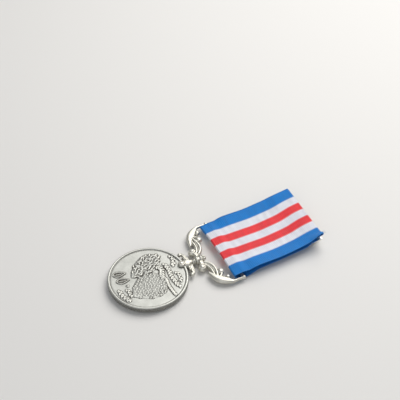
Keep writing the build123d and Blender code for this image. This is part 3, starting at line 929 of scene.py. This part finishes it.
def drape(points, along):
    """Gives the folded strip the lie of soft cloth: edges that curl up, a lifted corner, skew folds."""
    x, y = points[:, 0].copy(), points[:, 1].copy()
    half = RIBBON_WIDTH / 2
    front = ease(along, 2.5, 6.0) * (1 - ease(along, 46.0, 52.0))
    back = ease(along, 56.0, 64.0) * (1 - ease(along, 88.0, 94.0))
    middle = ease(y, 38.0, 48.0) * (1 - ease(y, 70.0, 78.0))
    curl = np.abs(x / half) ** 2.2 * middle
    points[:, 2] += curl * (FRONT_EDGE_CURL * front + BACK_EDGE_CURL * back)
    points[:, 2] += SIDE_TILT * (x / half) * middle * front
    points[:, 0] -= TOP_SHIFT * ease(y, 55.0, 80.0)
    points[:, 1] += (TOP_EXTRA - TOP_SKEW_PER_MM * x) * ease(y, 62.0, 82.0)
    corner = ease(x, 12.5, half) ** 1.5 * ease(y, 72.0, 82.0) * (1 - ease(along, 60.0, 70.0))
    points[:, 2] += CORNER_LIFT * corner
    points[:, 1] -= CORNER_PULL * corner
    fold = 1 - ease(y, 38.0, 46.0)
    points[:, 1] -= FOLD_SKEW * ease(x, 0.0, half) * fold
    points[:, 2] -= FOLD_SINK * ease(-x, 7.0, half) * fold * ease(points[:, 2], 2.0, 3.6)


ribbon()

# ================================================================ threads
THREAD_RADIUS = 0.09
PLIES = 2
TWIST_PER_MM = 1.6
STITCH_COUNT = 6
STITCH_PITCH = 5.0
STITCH_SPAN = 1.6


def thread_cotton():
    """Spun white thread: pale fibres, with painted shade in the gaps between the plies."""
    s = Shader("white thread")
    tint = colour(236, 238, 244)
    fibre = s.noise(0.12, 4.0)
    hollow = s.attribute("hollow")
    # Painted shade: 'hollow' darkens the sides of the plies that face each other, as if shade lay between
    # them. The fibre noise is the thread's own uneven tone.
    shade = s.math("ADD", s.spread(fibre, 0.3, 0.7, 0.0, 0.5), s.spread(hollow, 0.0, 0.8, 0.0, 0.5))
    s.set(Base_Color=s.mix(shade, tint, s.mix(1.0, tint, (0.55, 0.55, 0.58, 1), "MULTIPLY")))
    s.set(Roughness=s.spread(fibre, 0.2, 0.8, 0.6, 0.85), Normal=s.bump(fibre, 0.02))
    s.set(Sheen_Weight=0.3)
    return s.material


WHITE_THREAD = thread_cotton()


def twisted_tube(path, radius, closed=False):
    """Points, faces and hollows of a thread whose plies wind round a path of evenly spaced points. The
    hollows mark where painted shade goes between the plies.
    """
    ahead = np.gradient(path, axis=0)
    if closed:
        ahead[0] = ahead[-1] = path[1] - path[-2]
    ahead /= np.linalg.norm(ahead, axis=1)[:, None]
    side = np.cross(ahead, (0.0, 1.0, 0.0))
    side /= np.maximum(np.linalg.norm(side, axis=1), 1e-6)[:, None]
    other = np.cross(ahead, side)
    turns = distance_along(path) * TWIST_PER_MM
    if closed:
        turns *= round(turns[-1]) / turns[-1]
    sides = 10
    angle = full_turn(sides)
    points, faces, hollows = [], [], []
    for ply in range(PLIES):
        wind = 2 * math.pi * (turns + ply / PLIES)
        centre = path + 0.48 * radius * (np.cos(wind)[:, None] * side + np.sin(wind)[:, None] * other)
        spoke = np.cos(angle)[:, None, None] * side + np.sin(angle)[:, None, None] * other
        rings = (centre + 0.56 * radius * spoke).transpose(1, 0, 2)
        # Painted shade mask: 1 on the side of each ply that faces the other ply, where the shader darkens the
        # thread.
        inward = -np.cos(angle[None, :] - wind[:, None])
        last = len(path) - 1 if closed else len(path)
        start = count_points(points)
        faces += grid_faces(last, sides, closed, True, start=start)
        if not closed:
            faces += end_caps(last, sides, start)
        points.append(rings[:last].reshape(-1, 3))
        hollows.append(np.clip(inward[:last], 0, 1).ravel())
    return np.vstack(points), faces, np.concatenate(hollows)


def thread_piece(name, tubes, replaced=()):
    """One piece of white thread, made of several tubes."""
    points, faces, hollows = [], [], []
    for tube_points, tube_faces, tube_hollows in tubes:
        start = count_points(points)
        faces += [[corner + start for corner in face] for face in tube_faces]
        points.append(tube_points)
        hollows.append(tube_hollows)
    piece = new_piece(name, np.vstack(points), faces, "ribbon", replaced, WHITE_THREAD)
    # 'hollow' here carries the painted shade between the plies.
    add_attribute(piece, "hollow", np.concatenate(hollows))


def stitch_loop(x, y, low, high):
    """Rounded loop of thread through the plate and one layer of ribbon, pulled a little askew."""
    half_span, half_height = STITCH_SPAN / 2, (high - low) / 2 - THREAD_RADIUS
    steps = 97
    angle = np.linspace(0, 2 * math.pi, steps)
    corner_power = 0.45
    round_x = np.sign(np.cos(angle)) * np.abs(np.cos(angle)) ** corner_power
    round_z = np.sign(np.sin(angle)) * np.abs(np.sin(angle)) ** corner_power
    lean = rng.uniform(-0.07, 0.07)
    path = np.column_stack(
        [x + half_span * round_x, y + lean * round_x * round_z, (low + high) / 2 + half_height * round_z]
    )
    return respaced(path, distance_along(path), steps)[0]


def stitching(node, name):
    """A row of stitches in place of the CAD node's plain loops."""
    low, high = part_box(node)
    row_y = (low.y + high.y) / 2 / MM - DISC_CENTRE_Y
    tubes = []
    for index in range(STITCH_COUNT):
        x = (index - (STITCH_COUNT - 1) / 2) * STITCH_PITCH
        loop = stitch_loop(x, row_y, low.z / MM, high.z / MM)
        tubes.append(twisted_tube(loop, THREAD_RADIUS, closed=True))
    thread_piece(name, tubes, [node])


def frayed_corner():
    """Loose warp threads at the lifted corner of the ribbon's top fold."""
    half = RIBBON_WIDTH / 2
    edge_inset = 0.15
    tubes = []
    for index in range(9):
        x = half - TOP_SHIFT - edge_inset - 0.22 * index * rng.uniform(0.7, 1.0)
        y = RIBBON_TOP - 1.0 + rng.uniform(-0.2, 0.1)
        z = FACE_Z + CORNER_LIFT * ease(x + TOP_SHIFT, 12.5, half) ** 1.5
        length, heading = rng.uniform(1.0, 2.0), rng.uniform(-0.1, 0.8)
        share = np.linspace(0, 1, 16)
        path = np.column_stack(
            [
                x + length * share * math.sin(heading),
                y + length * share * math.cos(heading),
                z + 0.35 * length * share - 0.5 * share**2 * rng.uniform(0.4, 1.4),
            ]
        )
        tubes.append(twisted_tube(path, 0.07))
    thread_piece("frayed_threads", tubes)


stitching("hem_thread", "hem_stitching")
stitching("tail_thread", "tail_stitching")
frayed_corner()

# ================================================================ brooch and pins
BROOCH_METAL = antique_silver(
    "brooch metal", (214, 212, 206), (198, 195, 188), (92, 84, 72), grain=0.004, roughness=0.34
)
NEEDLE_STEEL = antique_silver(
    "needle steel", (222, 223, 225), (206, 207, 210), (110, 108, 106), grain=0.002, roughness=0.24
)


def softened_copy(node, body, material, grain):
    """The CAD node with its sharp edges eased, as on filed and polished metal."""
    piece = new_object(f"{node}_eased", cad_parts[node].data.copy())
    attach(piece, body)
    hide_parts(node)
    weld = piece.modifiers.new("weld", "WELD")
    weld.merge_threshold = 0.001 * MM
    skin = piece.modifiers.new("skin", "REMESH")
    skin.mode = "VOXEL"
    skin.voxel_size = grain * MM
    ease_edges = piece.modifiers.new("ease", "SMOOTH")
    ease_edges.factor = 0.5
    ease_edges.iterations = 2
    apply_modifiers(piece)
    store_hollows(piece, 6, 0.04)
    piece.data.materials.clear()
    piece.data.materials.append(material)


softened_copy("brooch_plate", "ribbon", BROOCH_METAL, 0.09)
for small_part, its_body in (
    ("hinge_bracket", "ribbon"),
    ("hinge_rivet", "ribbon"),
    ("catch_housing", "ribbon"),
    ("catch_lock", "catch_lock"),
):
    softened_copy(small_part, its_body, BROOCH_METAL, 0.055)
softened_copy("pin_needle", "needle", NEEDLE_STEEL, 0.05)
softened_copy("ribbon_bar", "suspender", CAST_SILVER, 0.11)
softened_copy("claw_rivet", "medal", CAST_SILVER, 0.06)
softened_copy("swivel_pin", "medal", CAST_SILVER, 0.07)

# ================================================================ stage, light and camera
CAMERA_AZIMUTH = math.radians(62.7)
CAMERA_ELEVATION = math.radians(44.0)
CAMERA_DISTANCE = 0.4444
CAMERA_LENS = 83.2
SKY_STRENGTH = 0.24
AIM = Vector((-0.0331, 0.0110, 0.0036))


def add_camera():
    """Camera at the photograph's angle: azimuth 0 looks along +Y, and 90 along -X."""
    camera = new_object("camera", bpy.data.cameras.new("camera"))
    camera.data.lens = CAMERA_LENS
    camera.data.clip_start = 0.01
    away = Vector(
        (
            math.sin(CAMERA_AZIMUTH) * math.cos(CAMERA_ELEVATION),
            -math.cos(CAMERA_AZIMUTH) * math.cos(CAMERA_ELEVATION),
            math.sin(CAMERA_ELEVATION),
        )
    )
    camera.location = AIM + CAMERA_DISTANCE * away
    camera.rotation_euler = (-away).to_track_quat("-Z", "Y").to_euler()
    bpy.context.scene.camera = camera


def add_light(name, place, size, power, tint=(1.0, 1.0, 1.0)):
    """Square soft light that faces the medal."""
    lamp = bpy.data.lights.new(name, "AREA")
    lamp.size = size
    lamp.energy = power
    lamp.color = tint
    holder = new_object(name, lamp)
    holder.location = place
    holder.rotation_euler = (-Vector(place)).to_track_quat("-Z", "Y").to_euler()


def add_floor():
    """Plain pale floor under the medal."""
    reach = 1500.0
    corners = [(-reach, -reach, 0), (reach, -reach, 0), (reach, reach, 0), (-reach, reach, 0)]
    mesh = bpy.data.meshes.new("floor")
    mesh.from_pydata((np.array(corners) * MM).tolist(), [], [(0, 1, 2, 3)])
    s = Shader("floor")
    s.set(Base_Color=(0.78, 0.77, 0.75, 1.0), Roughness=0.7)
    mesh.materials.append(s.material)
    new_object("floor", mesh)


def add_world():
    """Faint even light from all round, and the plain colour transform."""
    world = bpy.data.worlds.new("studio")
    world.use_nodes = True
    background = world.node_tree.nodes["Background"]
    background.inputs["Color"].default_value = (0.9, 0.94, 1.0, 1.0)
    background.inputs["Strength"].default_value = SKY_STRENGTH
    bpy.context.scene.world = world
    bpy.context.scene.view_settings.view_transform = "Standard"


add_camera()
add_floor()
add_world()
add_light("key", (-0.19, 0.36, 0.55), 0.6, 4.7, (1.0, 0.98, 0.95))
add_light("fill", (0.45, -0.45, 0.5), 0.8, 1.5)
